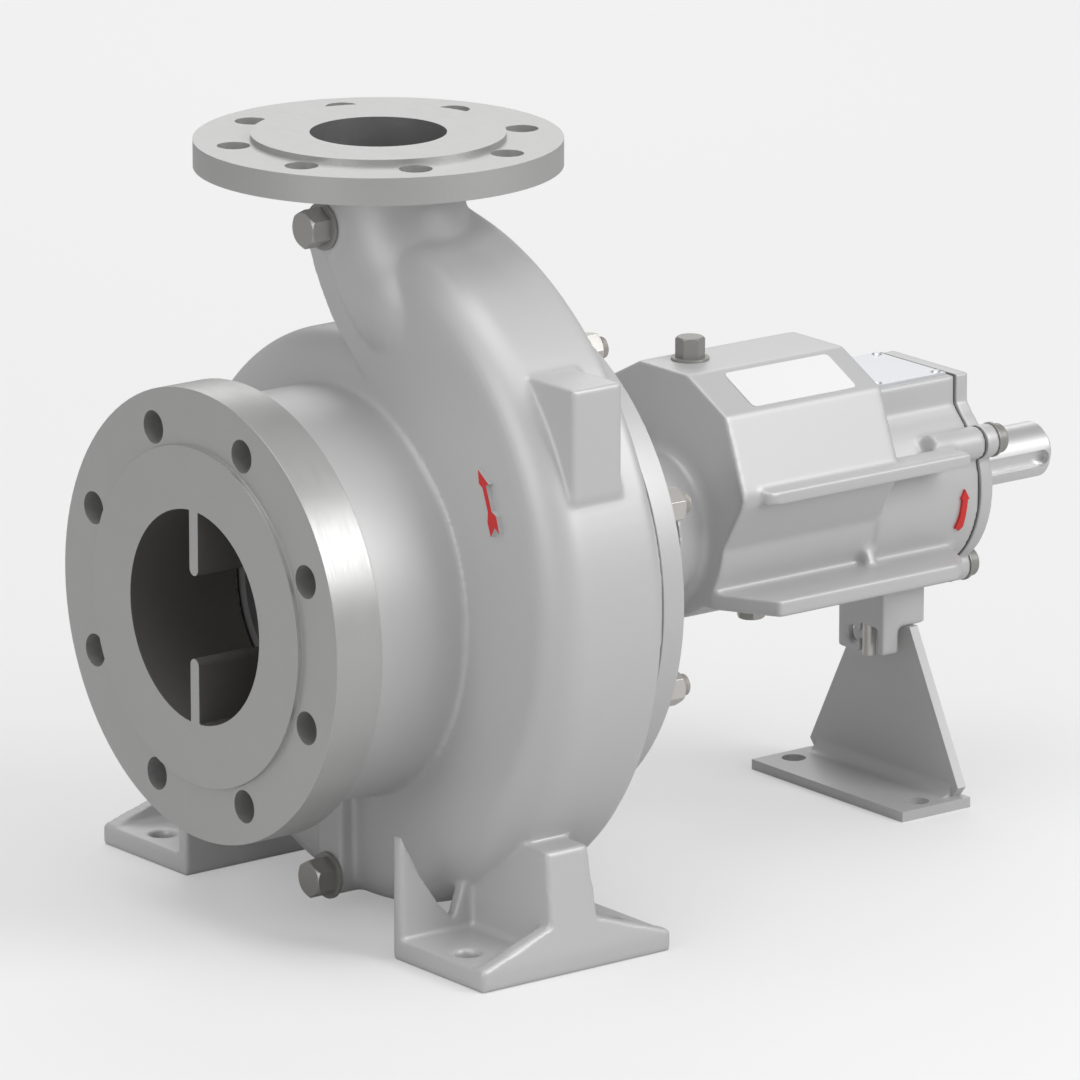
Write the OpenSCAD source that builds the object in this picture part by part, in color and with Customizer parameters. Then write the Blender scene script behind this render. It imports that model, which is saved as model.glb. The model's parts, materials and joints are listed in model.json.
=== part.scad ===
// Single-stage volute pump for hot thermic fluid, on its feet, shaft along +X.
// Origin on the floor under the discharge axis, +Z up, suction face towards -X.

/* [Main dimensions] */
// Height of the shaft axis above the feet
shaft_h = 180; // [176:1:190]
// Height of the discharge face above the shaft axis
discharge_h = 250; // [244:1:260]
// Distance of the suction face in front of the discharge axis
suction_reach = 125; // [120:1:140]
// Distance of the shaft end behind the discharge axis
shaft_reach = 470; // [465:1:480]

/* [Suction flange] */
// Flange diameter
suction_od = 250; // [244:1:256]
// Bolt circle diameter
suction_pcd = 210; // [206:1:214]
// Raised face diameter
suction_face_d = 188; // [182:1:190]
// Flange thickness without the raised face
suction_t = 30; // [24:1:34]
// Bore diameter
suction_bore = 118; // [112:1:119]
// Diameter of the barrel behind the flange
barrel_d = 226; // [224:1:228]
// Length of the two guide ribs in the suction bore
rib_len = 60; // [40:1:64]
// Thickness of the guide ribs
rib_t = 8; // [6:0.5:10]
// Height of the guide ribs
rib_h = 36; // [24:1:38]

/* [Discharge flange] */
// Flange diameter
discharge_od = 200; // [196:1:206]
// Bolt circle diameter
discharge_pcd = 160; // [157:1:163]
// Raised face diameter
discharge_face_d = 138; // [132:1:139]
// Flange thickness without the raised face
discharge_t = 15; // [13:1:18]
// Bore diameter
discharge_bore = 74; // [68:1:76]
// Outer diameter of the neck under the flange
neck_d = 90; // [88:1:94]

/* [Flange details] */
// Height of both raised faces
raised_h = 3; // [2:0.5:4]
// Diameter of the flange bolt holes
flange_hole_d = 18; // [16:0.5:19]
// Number of bolt holes in each flange
flange_holes = 8; // [8:4:8]

/* [Volute] */
// Front face of the scroll, measured from the discharge axis
scroll_front = 27; // [25:1:29]
// Back edge of the scroll rim, measured from the discharge axis
scroll_back = 46; // [44:1:48]
// Outer radius of the scroll above the cutwater
scroll_r = 140; // [139:1:143]
// Growth of the outer radius over a quarter turn
scroll_growth = 17.5; // [16:0.5:18]
// Radius of the rounded front rim
rim_front_r = 22; // [18:1:24]
// Radius of the rounded back rim
rim_back_r = 7; // [4:1:9]
// Axial wall thickness of the scroll
scroll_wall = 10.5; // [9:0.5:12]
// Inner radius of the scroll at the cutwater
cutwater_r = 115; // [114:1:116]
// Growth of the inner radius over a quarter turn
passage_growth = 21.5; // [20:0.5:22]
// Radius of the left wall of the discharge neck
neck_bend_r = 130; // [128:1:132]

/* [Casing feet] */
// Spacing of the foot holes along the shaft
foot_hole_dx = 95; // [90:1:100]
// Spacing of the foot holes across the shaft
foot_hole_dy = 280; // [276:1:284]
// Diameter of the foot holes
foot_hole_d = 14; // [12:0.5:16]
// Length of each foot along the shaft
foot_len = 128; // [124:1:132]
// Overall width across both feet
feet_w = 350; // [346:1:354]
// Width of each foot plate
foot_plate_w = 80; // [76:1:84]
// Thickness of the foot plate
foot_t = 11.5; // [10:0.5:14]

/* [Casing joint] */
// Diameter of the cover joint
joint_d = 288; // [286:1:292]
// Rear face of the casing, measured from the discharge axis
joint_x = 83; // [81:1:85]
// Thickness of the cover flange
cover_t = 14; // [13:1:16]
// Diameter of the cover spigot
spigot_d = 223; // [220:1:224]
// Number of cover studs
cover_studs = 8; // [6:1:10]
// Bolt circle diameter of the cover studs
stud_pcd = 267; // [265:1:268]
// Thread diameter of the cover studs
stud_d = 12; // [10:1:14]
// Thickness of the casing gasket
gasket_t = 2; // [1:0.5:3]
// Outer radius of the casing gasket
gasket_r = 119.4; // [117:0.1:121]
// Thickness of the cover front wall
cover_wall = 17; // [14:1:20]
// Thickness of the cover spigot wall
spigot_wall = 13; // [10:1:16]
// Bore radius of the seal chamber
chamber_r = 36; // [35.5:0.5:40]
// Outer radius of the seal chamber wall
chamber_wall_r = 60; // [58:1:64]
// Width across flats of the cover nuts
nut_af = 18; // [17:1:19]
// Height of the cover nuts
nut_h = 10.8; // [9:0.2:12]

/* [Impeller] */
// Outer diameter of the impeller
impeller_d = 208; // [200:1:212]
// Width of the impeller outlet
outlet_w = 20; // [16:1:22]
// Number of vanes
vanes = 6; // [5:1:7]
// Vane thickness
vane_t = 5; // [4:0.5:6]
// Inner diameter of the impeller eye
eye_d = 110; // [106:1:112]
// Wall thickness of the shrouds
shroud_t = 4.5; // [4:0.5:6]
// Length of both wear rings
wear_ring_len = 11; // [8:1:12]
// Length of the impeller key
key_len = 26; // [20:1:28]
// Width of the impeller key
key_w = 8; // [6:1:8]
// Width across flats of the impeller nut
impeller_nut_af = 36; // [32:1:40]
// Height of the hexagon of the impeller nut
impeller_nut_h = 12; // [10:1:14]

/* [Shaft] */
// Diameter of the drive end
drive_d = 32; // [30:1:34]
// Length of the drive end
drive_len = 80; // [75:1:84]
// Diameter of the shaft under the sleeve
sleeve_bore = 32; // [30:1:34]
// Outer diameter of the shaft sleeve
sleeve_d = 44; // [42:1:46]
// Diameter of the shaft in the impeller hub
hub_bore = 28; // [26:1:30]
// Width of the coupling keyway
keyway_w = 10; // [8:1:12]
// Depth of the coupling keyway
keyway_depth = 5; // [4:0.5:6]
// Length of the shaft sleeve
sleeve_len = 84; // [76:1:86]
// Radius of the shaft in the front oil seal
seal_shaft_r = 19; // [18:0.5:19.5]
// Radius of the shaft between the bearings
shoulder_r = 24; // [22:0.5:25]
// Radius of the shaft in the rear oil seal
rear_seal_shaft_r = 17.5; // [16.5:0.5:18]

/* [Ball bearings] */
// Bore diameter
bearing_bore = 40; // [38:1:42]
// Outer diameter
bearing_od = 90; // [88:1:92]
// Width
bearing_w = 23; // [21:1:25]
// Ball diameter
ball_d = 15; // [14:0.5:15.5]
// Number of balls
balls = 8; // [7:1:9]
// Radial thickness of the bearing rings
race_t = 6; // [5:0.5:6.5]
// Front face of the front bearing, from the discharge axis
front_bearing_x = 206; // [205:1:208]
// Front face of the rear bearing, from the discharge axis
rear_bearing_x = 346; // [344:1:347]

/* [Bearing bracket] */
// Front face of the bearing housing, measured from the discharge axis
housing_x = 196; // [194:1:198]
// Length of the large housing section
housing_len = 112; // [108:1:116]
// Height of the housing top above the shaft axis
housing_top = 89; // [86:1:92]
// Half width of the housing at its widest
housing_half_w = 72; // [70:1:75]
// Half width of the flat housing top
top_half_w = 22; // [20:1:25]
// Radius of the round neck in front of the housing
lantern_neck_r = 42; // [40:1:45]
// Thickness of the bearing end cover
end_cover_t = 10; // [9:1:12]
// Outer radius of the rear housing
rear_r = 56; // [55:1:58]
// Half width of the rear housing top
rear_top_half_w = 33; // [30:1:36]
// Half width of the housing base plate
plate_half_w = 80; // [76:1:84]
// Thickness of the housing base plate
plate_t = 10; // [8:1:12]
// Outer radius of the lantern flange
lantern_flange_r = 122; // [120:1:124]
// Thickness of the lantern flange
lantern_t = 12; // [10:1:14]
// Bore radius of the lantern flange
lantern_bore_r = 99; // [96:1:101]
// Wall thickness of the lantern
bell_wall = 8; // [7:0.5:10]
// Bolt circle diameter of the lantern screws
lantern_pcd = 228; // [226:1:230]
// Radius of the barrel under the housing
belly_r = 54; // [53:1:56]
// Height of the rear housing top above the shaft axis
rear_top = 63.5; // [60:0.5:66]

/* [Support foot] */
// Position of the rear foot holes behind the discharge axis
rear_hole_x = 337; // [334:1:340]
// Spacing of the rear foot holes
rear_hole_dy = 110; // [106:1:114]
// Sheet thickness of the support foot
sheet_t = 6; // [5:0.5:7]
// Half width of the support foot base
support_half_w = 67.5; // [66:0.5:72]
// Front edge of the support foot base behind the discharge axis
support_x0 = 316; // [312:1:320]
// Front face of the upright behind the discharge axis
upright_x = 358; // [354:1:360]
// Underside of the block that carries the foot
boss_z = 97; // [95:1:100]
// Half width of that block
boss_half_w = 20; // [19:1:22]

/* [Plugs and small screws] */
// Width across flats of the casing plugs
plug_af = 19; // [17:1:22]
// Thread diameter of the casing plugs
plug_d = 14; // [12:1:16]
// Diameter of the plug washers
plug_washer_d = 26; // [24:1:28]
// Thread diameter of the bracket screws
screw_d = 10; // [8:1:10]
// Height of the casing plug heads
plug_head_h = 12; // [10:0.5:14]
// Thickness of the plug washers
plug_washer_t = 2; // [1.5:0.5:3]
// Thread diameter of the oil filler plug
filler_d = 10; // [10:1:13]
// Width across flats of the oil plugs
filler_af = 14.5; // [13:0.5:17]
// Diameter of the oil filler washer
filler_washer_d = 21.5; // [18:0.5:22]
// Thread diameter of the end cover screws
ear_screw_d = 8; // [6:1:9]
// Head diameter of the end cover screws
ear_head_d = 17; // [14:0.5:18]
// Diameter of the washers under them
ear_washer_d = 20; // [17:0.5:22]
// Length of the label on the housing
label_len = 74; // [60:1:80]
// Height of the label on the housing
label_w = 30; // [24:1:32]
// Length of the nameplate
nameplate_len = 51; // [40:1:54]

/* [Fits] */
// Radial clearance of fixed fits
fit = 0.05; // [0.02:0.01:0.1]
// Radial clearance of bearing balls in their grooves
ball_fit = 0.05; // [0.03:0.01:0.1]
// Radial clearance of the wear rings
wear_fit = 0.4; // [0.3:0.05:0.6]

/* [Hidden] */
$fn = 64;

// Stations along the shaft
suction_x = -suction_reach;
flange_back_x = suction_x + raised_h + suction_t;
front_x = -scroll_front;
back_x = scroll_back;
cavity_x0 = front_x + scroll_wall;
cavity_x1 = back_x - scroll_wall;
outlet_x0 = (cavity_x0 + cavity_x1 - outlet_w) / 2;
outlet_x1 = outlet_x0 + outlet_w;
cover_front_x = outlet_x1 + shroud_t + 3;
cover_x1 = joint_x + cover_t;
cover_back_x = shaft_reach - drive_len;
seam_x = cover_back_x - end_cover_t;
section_x = housing_x + housing_len;

// Heights
discharge_z = shaft_h + discharge_h;
neck_top_z = discharge_z - raised_h - discharge_t;

// Radii
barrel_r = barrel_d / 2;
spigot_r = spigot_d / 2;
joint_r = joint_d / 2;
impeller_r = impeller_d / 2;
eye_r = eye_d / 2;
eye_hub_r = eye_r + 7;
eye_x = front_x - 25;
ring_r = eye_hub_r + wear_fit + 6;
sleeve_r = sleeve_d / 2;
groove_w = 2;
bell_bend_r = 56;
bell_angle = 45;
lock_thread_r = 19;
lock_nut_r = 29;
lock_washer_t = 2;
thread_r = 10;
thread_len = 17;
dome_h = 8;
drive_chamfer = 3;
hub_hole_r = 26;
seat_r = 35;
collar_r = 31;
gland_r = 58;
oil_seal_r = 31;
rear_seal_r = 27;
end_spigot_r = 38;
housing_shoulder_r = 38;
clip_groove_r = 47;
deflector_r = 32;
ear_r = 9.5;
lip_gap = 0.3;

// Small stations and depths
gasket_seat = 5;
nut_seat_x = -14;
sleeve_x = 44;
key_x0 = -8;
key_floor = hub_bore / 2 - 4;
key_top = hub_bore / 2 + 3;
keyway_x0 = 402;
keyway_x1 = 466;
keyway_turn = 6;
collar_x = 58;
bellows_x = 70;
seal_ring_x = 84;
seal_face_x = 93;
bellows_waves = 4;
seat_depth = 6;
gland_t = 12;
gland_studs_n = 4;
gland_pcd = 96;
gland_stud_d = 8;
gland_stud_depth = 12;
gland_stud_len = 33;
gland_nut_af = 13;
gland_nut_h = 6.5;
stud_len = 49;
screw_depth = 12;
lantern_screws_n = 4;
lantern_af = 16;
bell_bend_x = 194;
window_x0 = 116;
window_x1 = 172;
window_half_h = 38;
window_round = 10;
neck_fillet = 6;
oil_seal_x = 190;
oil_seal_w = 9;
deflector_x = 176;
deflector_w = 8;
chamber_x0 = 236;
clip_t = 2;
rail_x0 = 208;
rail_x1 = 356;
rail_z = shaft_h + 23;
rail_h = 8;
rail_in = 58;
rail_out = 77;
rail_round = 8;
gusset_x = 300;
boss_x0 = 340;
boss_x1 = 371;
tongue_half_w = 14;
tongue_h = 19;
upright_top_half_w = 22;
support_bend = 8;
support_bolt_z = 107;
pin_x = 345;
pin_y = -2;
pin_z = 79;
pin_d = 8;
pin_in = 4;
ear_x = 345;
ear_screw_depth = 16;
ear_washer_t = 2;
ear_head_h = 6;
filler_x = 221;
filler_y = 7;
filler_head_h = 11.5;
filler_washer_t = 1.5;
oil_drain_x = 260;
oil_drain_z = 122;
oil_drain_d = 12;
oil_drain_pad = 24;
label_x = 218.5;
label_t = 0.6;
nameplate_x = 325;
nameplate_half_w = 30;
nameplate_t = 1.5;
rivet_d = 4;

// A child placed on the shaft axis, its own Z along the shaft
module on_shaft(x = 0) translate([x, 0, shaft_h]) rotate([0, 90, 0]) children();

// A ring about the shaft from x0 to x1
module ring(x0, x1, ro, ri) on_shaft(x0) difference() {
  cylinder(r = ro, h = x1 - x0);
  if (ri > 0) translate([0, 0, -1]) cylinder(r = ri, h = x1 - x0 + 2);
}

// A round hole about the shaft from x0 to x1
module bore(x0, x1, r) on_shaft(x0) cylinder(r = r, h = x1 - x0);

// Children copied n times round the shaft at radius r, half a pitch off the vertical
module around(n, r, x = 0) on_shaft(x) for (i = [0:n - 1])
  rotate([0, 0, 360 * (i + 0.5) / n]) translate([r, 0, 0]) children();

// A hexagon head of width af and height h
module hex_head(af, h) difference() {
  cylinder(d = af / cos(30), h = h, $fn = 6);
  translate([0, 0, h]) rotate_extrude() polygon([[af / 2 * 0.97, 0.01], [af, 0.01], [af, -af * 0.42]]);
}

// Scroll

half_growth = scroll_growth / 2;
half_passage = passage_growth / 2;
// Quadrants count from above the shaft, the way the liquid turns. Each arc has its own centre,
// one corner of a square, so that neighbours meet in one tangent.
corner_y = [1, -1, -1, 1];
corner_z = [-1, -1, 1, 1];
quarter_start = [90, 0, -90, -180];
// Angle by which the last quarter runs on past the vertical, and the first one behind it
throat_lead = 20;
tongue_overlap = 40;
passage_corner = 3;

// A quarter turn, or more with a longer turn. A negative turn starts at the other end.
module quarter(i, half, turn = 90)
  translate([0, corner_y[i] * half, shaft_h + corner_z[i] * half]) rotate([0, 90, 0])
    rotate([0, 0, quarter_start[i] + (turn < 0 ? 90 : 0)]) rotate_extrude(angle = turn) children();

// Half section of the scroll body, radius across and shaft direction upwards
module scroll_section(r) {
  translate([0, front_x]) square([r - rim_front_r, 30]);
  translate([0, front_x + rim_front_r]) square([r, back_x - front_x - rim_front_r - rim_back_r]);
  translate([r - rim_front_r, front_x + rim_front_r]) circle(r = rim_front_r);
  translate([r - rim_back_r, back_x - rim_back_r]) circle(r = rim_back_r);
  polygon([[0, front_x + 1], [r - rim_back_r, front_x + rim_front_r + 1], [r - rim_back_r, back_x],
    [r - 52, joint_x - 14], [0, joint_x - 14]]);
}

module passage_section(r) {
  translate([0, cavity_x0]) square([r - passage_corner, cavity_x1 - cavity_x0]);
  translate([0, cavity_x0 + passage_corner]) square([r, cavity_x1 - cavity_x0 - 2 * passage_corner]);
  for (x = [cavity_x0 + passage_corner, cavity_x1 - passage_corner])
    translate([r - passage_corner, x]) circle(r = passage_corner);
}

// Angle above the horizontal at which the neck wall leaves the round body
tongue_angle = 66;
neck_bend_y = -(neck_bend_r - 37);

// Area on the throat side of the neck wall, seen along the shaft
module throat_area(inset) on_shaft(front_x - 20) rotate([0, 0, 90]) linear_extrude(140) {
  translate([neck_bend_y, neck_top_z - shaft_h]) circle(r = neck_bend_r - inset);
  polygon([[0, 0], [-400 * cos(tongue_angle), 400 * sin(tongue_angle)], [-400, 400], [-400, -20],
    [0, -20]]);
}

module scroll_body() {
  outer = scroll_r + half_growth;
  for (i = [0:2]) quarter(i, half_growth, i == 0 ? 90 + tongue_overlap : 90)
    scroll_section(outer + i * scroll_growth);
  intersection() {
    quarter(3, half_growth, -90 - throat_lead) scroll_section(outer + 3 * scroll_growth);
    throat_area(0);
  }
}

module scroll_passage() {
  inner = cutwater_r + half_passage;
  bore(cavity_x0, joint_x + 1, spigot_r + fit);
  for (i = [0:2]) quarter(i, half_passage) passage_section(inner + i * passage_growth);
  intersection() {
    quarter(3, half_passage, -90 - throat_lead) passage_section(inner + 3 * passage_growth);
    throat_area(scroll_wall);
  }
}

// Discharge neck: a round bend from the scroll up to the flange
neck_r = neck_d / 2;
neck_wall = (neck_d - discharge_bore) / 2;
pipe_r = 40;
pipe_centre_x = 4;
pipe_angle = 50;
pipe_step = 0.5;
flare_h = 20;

module neck_pipe(inset) {
  path_r = neck_bend_r - pipe_r - 0.5;
  translate([pipe_centre_x, neck_bend_y, neck_top_z]) rotate([0, 90, 0]) rotate([0, 0, 90 - pipe_angle]) {
    rotate_extrude(angle = pipe_angle) translate([path_r, 0]) circle(r = pipe_r - inset);
    translate([path_r, 0, 0]) sphere(r = pipe_r - pipe_step - inset);
  }
  translate([0, 0, neck_top_z - flare_h])
    cylinder(r1 = pipe_r - 6 - inset, r2 = neck_r - inset, h = flare_h);
}

// Feet of the casing
web_t = 8;
web_top = 72;
block_w = 32;
block_top = 67;
plate_in_y = feet_w / 2 - foot_plate_w;
block_depth = 78;
foot_lean = 0.163;

module casing_foot(wall_top) {
  half = foot_len / 2;
  // Plate
  translate([-half, -feet_w / 2, 0]) cube([foot_len, foot_plate_w, foot_t]);
  // Inner wall that rises to the front
  translate([0, -plate_in_y, 0]) rotate([90, 0, 0]) linear_extrude(web_t)
    polygon([[-half, 0], [half, 0], [half, foot_t + 6], [back_x - 4, foot_t + 6], [back_x - 8, wall_top],
      [-20, wall_top], [-half + 36, foot_t + 6], [-half + 26, 28], [-half + 13, 47], [-half, web_top]]);
  // Leaning outer wall with the block that carries the scroll
  intersection() {
    translate([0, -feet_w / 2 + block_depth, 0]) rotate([90, 0, 0]) linear_extrude(block_depth)
      polygon([[-half, foot_t - 1], [half, foot_t - 1], [half, foot_t], [block_w / 2, foot_t + 16],
        [block_w / 2 - 2, block_top], [-block_w / 2 + 2, block_top], [-block_w / 2, foot_t + 16],
        [-half, foot_t]]);
    union() {
      translate([-half, -feet_w / 2, foot_t - 1]) rotate([-90, -90, -90]) linear_extrude(foot_len)
        polygon([[0, 0], [block_top, -block_top * foot_lean], [block_top, -block_top * foot_lean - 9],
          [0, -9]]);
      translate([-block_w / 2, -feet_w / 2, foot_t - 1]) rotate([-90, -90, -90]) linear_extrude(block_w)
        polygon([[0, 0], [block_top, -block_top * foot_lean], [block_top, -block_depth], [0, -block_depth]]);
    }
  }
}

module foot_holes() for (x = [-1, 1]) for (y = [-1, 1])
  translate([x * foot_hole_dx / 2, y * foot_hole_dy / 2, -1]) cylinder(d = foot_hole_d, h = foot_t + 2);

// Wedge lug on the throat side
lug_x0 = -8;
lug_w = 33;
lug_y = -181;
lug_z0 = shaft_h + 82;
lug_h = 61;
module side_lug() translate([lug_x0, 0, lug_z0]) linear_extrude(lug_h)
  polygon([[0, lug_y], [lug_w, lug_y], [lug_w, lug_y + 80], [0, lug_y + 80]]);

// Plugs sit on round pads
prime_z = shaft_h + 203;
prime_x = front_x - 10;
drain_z = 19;
drain_x = front_x - 9;
drain_pad_w = 23;

module drain_pad() {
  translate([drain_x, -drain_pad_w / 2, drain_z]) cube([-drain_x, drain_pad_w, 46]);
  translate([drain_x, 0, drain_z]) rotate([0, 90, 0]) cylinder(d = drain_pad_w, h = -drain_x);
}

plug_depth = 14;
module plug_thread(clearance) cylinder(d = plug_d + 2 * clearance, h = plug_depth);

stud_depth = 18;

module casing_block() difference() {
  union() {
    // Suction flange and barrel
    on_shaft(suction_x) rotate_extrude() {
      square([suction_face_d / 2, raised_h + 5]);
      translate([0, raised_h]) square([suction_od / 2, suction_t]);
      translate([0, raised_h]) square([barrel_r, front_x - suction_x + 2]);
      difference() {
        translate([0, flange_back_x - suction_x - 1]) square([barrel_r + 6, 7]);
        translate([barrel_r + 6, flange_back_x - suction_x + 6]) circle(r = 6);
      }
    }
    scroll_body();
    // Joint flange
    ring(back_x - 12, joint_x, joint_r, 0);
    neck_pipe(0);
    // Discharge flange
    translate([0, 0, neck_top_z - 8]) rotate_extrude() {
      translate([0, 8]) square([discharge_od / 2, discharge_t]);
      translate([0, 8 + discharge_t - 2]) square([discharge_face_d / 2, raised_h + 2]);
      difference() {
        square([neck_r + 8, 9]);
        translate([neck_r + 8, 0]) circle(r = 8);
      }
    }
    casing_foot(40);
    mirror([0, 1, 0]) casing_foot(66);
    side_lug();
    drain_pad();
    translate([prime_x, 0, prime_z]) rotate([0, 90, 0]) cylinder(d = plug_washer_d + 2, h = 24);
  }
  scroll_passage();
  neck_pipe(neck_wall);
  translate([0, 0, neck_top_z - 1]) cylinder(d = discharge_bore, h = discharge_z - neck_top_z + 2);
  // Suction bore, wear ring seat, impeller space and gasket seat
  bore(suction_x - 1, eye_x + 1, suction_bore / 2);
  bore(eye_x, cavity_x0 + 1, ring_r + fit);
  bore(joint_x - gasket_seat, joint_x + 1, gasket_r + fit);
  // Line between the barrel and the scroll
  on_shaft() rotate([0, 0, 205]) rotate_extrude(angle = 145)
    translate([barrel_r - 1, front_x - 0.5]) square([groove_w + 1, 2]);
  around(flange_holes, suction_pcd / 2, suction_x - 1)
    cylinder(d = flange_hole_d, h = raised_h + suction_t + 2);
  translate([0, 0, neck_top_z - 9]) for (i = [0:flange_holes - 1])
    rotate([0, 0, 360 * (i + 0.5) / flange_holes]) translate([discharge_pcd / 2, 0, 0])
      cylinder(d = flange_hole_d, h = discharge_t + raised_h + 20);
  foot_holes();
  around(cover_studs, stud_pcd / 2, joint_x - stud_depth) cylinder(d = stud_d + 2 * fit, h = 40);
  translate([drain_x - 0.01, 0, drain_z]) rotate([0, 90, 0]) plug_thread(fit);
  translate([prime_x - 0.01, 0, prime_z]) rotate([0, 90, 0]) plug_thread(fit);
}

module volute_casing() color("silver") {
  casing_block();
  // Guide ribs above and below in the suction bore
  for (side = [0, 180]) on_shaft(suction_x) rotate([0, 0, side]) {
    translate([suction_bore / 2 - rib_h + rib_t / 2, -rib_t / 2, 0]) cube([rib_h - rib_t / 2 + 2, rib_t, rib_len]);
    translate([suction_bore / 2 - rib_h + rib_t / 2, 0, 0]) cylinder(d = rib_t, h = rib_len);
  }
}

// Parts in the wet end

module front_wear_ring() color("dimgray") ring(eye_x, cavity_x0 - 1, ring_r, eye_hub_r + wear_fit);

module rear_wear_ring() color("dimgray")
  ring(cover_front_x, cover_front_x + wear_ring_len, ring_r, eye_hub_r + wear_fit);

module casing_gasket() color("dimgray")
  ring(joint_x - gasket_seat, joint_x - gasket_seat + gasket_t, gasket_r, spigot_r + 2 * fit);

module casing_cover() color("silver") difference() {
  on_shaft() rotate_extrude() {
    // Front wall, spigot, flange and the neck of the seal chamber
    translate([0, cover_front_x]) square([spigot_r, cover_wall]);
    translate([spigot_r - spigot_wall, cover_front_x]) square([spigot_wall, cover_x1 - cover_front_x]);
    translate([spigot_r - spigot_wall, joint_x - gasket_seat + gasket_t])
      square([gasket_r - spigot_r + spigot_wall, gasket_seat]);
    translate([spigot_r - spigot_wall, joint_x]) square([joint_r - spigot_r + spigot_wall, cover_t]);
    translate([0, cover_front_x]) square([chamber_wall_r, cover_x1 - cover_front_x]);
  }
  bore(cover_front_x - 1, cover_x1 + 1, hub_hole_r);
  bore(cover_front_x + cover_wall - 2, cover_x1 + 1, chamber_r);
  // Seat of the rear wear ring and room for the impeller ring
  bore(cover_front_x - 1, cover_front_x + wear_ring_len, ring_r + fit);
  around(cover_studs, stud_pcd / 2, joint_x - 1) cylinder(d = stud_d + 1, h = cover_t + 2);
  around(gland_studs_n, gland_pcd / 2, cover_x1 - gland_stud_depth) cylinder(d = gland_stud_d + 2 * fit, h = 40);
  around(lantern_screws_n, lantern_pcd / 2, cover_x1 - screw_depth) cylinder(d = screw_d + 2 * fit, h = 40);
}

// A stud with chamfered ends
module stud(d, h) {
  translate([0, 0, d / 10]) cylinder(d = d, h = h - d / 5);
  cylinder(d1 = d * 0.8, d2 = d, h = d / 10);
  translate([0, 0, h - d / 10]) cylinder(d1 = d, d2 = d * 0.8, h = d / 10);
}

// A hexagon nut
module nut(af, h, d) difference() {
  hex_head(af, h);
  translate([0, 0, -1]) cylinder(d = d + 2 * fit, h = h + 2);
}

module casing_studs() color("gainsboro")
  around(cover_studs, stud_pcd / 2, joint_x - stud_depth) stud(stud_d, stud_len);

module casing_nuts() color("gainsboro")
  around(cover_studs, stud_pcd / 2, cover_x1) nut(nut_af, nut_h, stud_d);

// A plug in a wall facing the suction side, local Z out of the wall
module on_pad(x, y, z) translate([x, y, z]) rotate([0, -90, 0]) children();

// A screw plug with a hexagon head on its washer
module screw_plug(af, head_h, d, depth, washer_t) {
  translate([0, 0, washer_t]) hex_head(af, head_h);
  translate([0, 0, -depth]) cylinder(d = d, h = depth + washer_t + 1);
}

module washer(d_out, d_in, t) difference() {
  cylinder(d = d_out, h = t);
  translate([0, 0, -1]) cylinder(d = d_in + 2 * fit, h = t + 2);
}

module priming_plug() color("gray") on_pad(prime_x, 0, prime_z)
  screw_plug(plug_af, plug_head_h, plug_d, plug_depth - 1, plug_washer_t);

module priming_plug_washer() color("gray") on_pad(prime_x, 0, prime_z)
  washer(plug_washer_d, plug_d, plug_washer_t);

module drain_plug() color("gray") on_pad(drain_x, 0, drain_z)
  screw_plug(plug_af, plug_head_h, plug_d, plug_depth - 1, plug_washer_t);

module drain_plug_washer() color("gray") on_pad(drain_x, 0, drain_z)
  washer(plug_washer_d, plug_d, plug_washer_t);

// Arrow in the direction of rotation on the front of the scroll, side and height
arrow_t = 3;
module casing_arrow() color("red") along_x(front_x - arrow_t, front_x)
  polygon([[-126.9, 273.2], [-136.3, 266.8], [-133.9, 265.8], [-138.9, 252.4], [-142.8, 250.6],
    [-145.6, 241.4], [-141.5, 244], [-138.1, 238.1], [-135.2, 245.8], [-135.5, 251.7],
    [-130.9, 263.8], [-127.7, 265.6]]);

// Outline drawn with side and height, extruded along the shaft
module along_x(x0, x1) translate([x0, 0, 0]) rotate([90, 0, 90]) linear_extrude(x1 - x0) children();

// Impeller: eye ring, two shrouds, hub, balance ring and backward-curved vanes
hub_r = 24;
hub_back_r = 20;
hub_fillet = 14;
balance_r = 36;
balance_d = 8;
vane_bend_r = 62;
vane_bend_offset = 50;
vane_root_r = 42;

module vane() intersection() {
  difference() {
    translate([vane_bend_offset, 0]) circle(r = vane_bend_r + vane_t / 2);
    translate([vane_bend_offset, 0]) circle(r = vane_bend_r - vane_t / 2);
    circle(r = vane_root_r);
  }
  circle(r = impeller_r - 0.5);
  translate([0, -impeller_r]) square(impeller_r);
}

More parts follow.
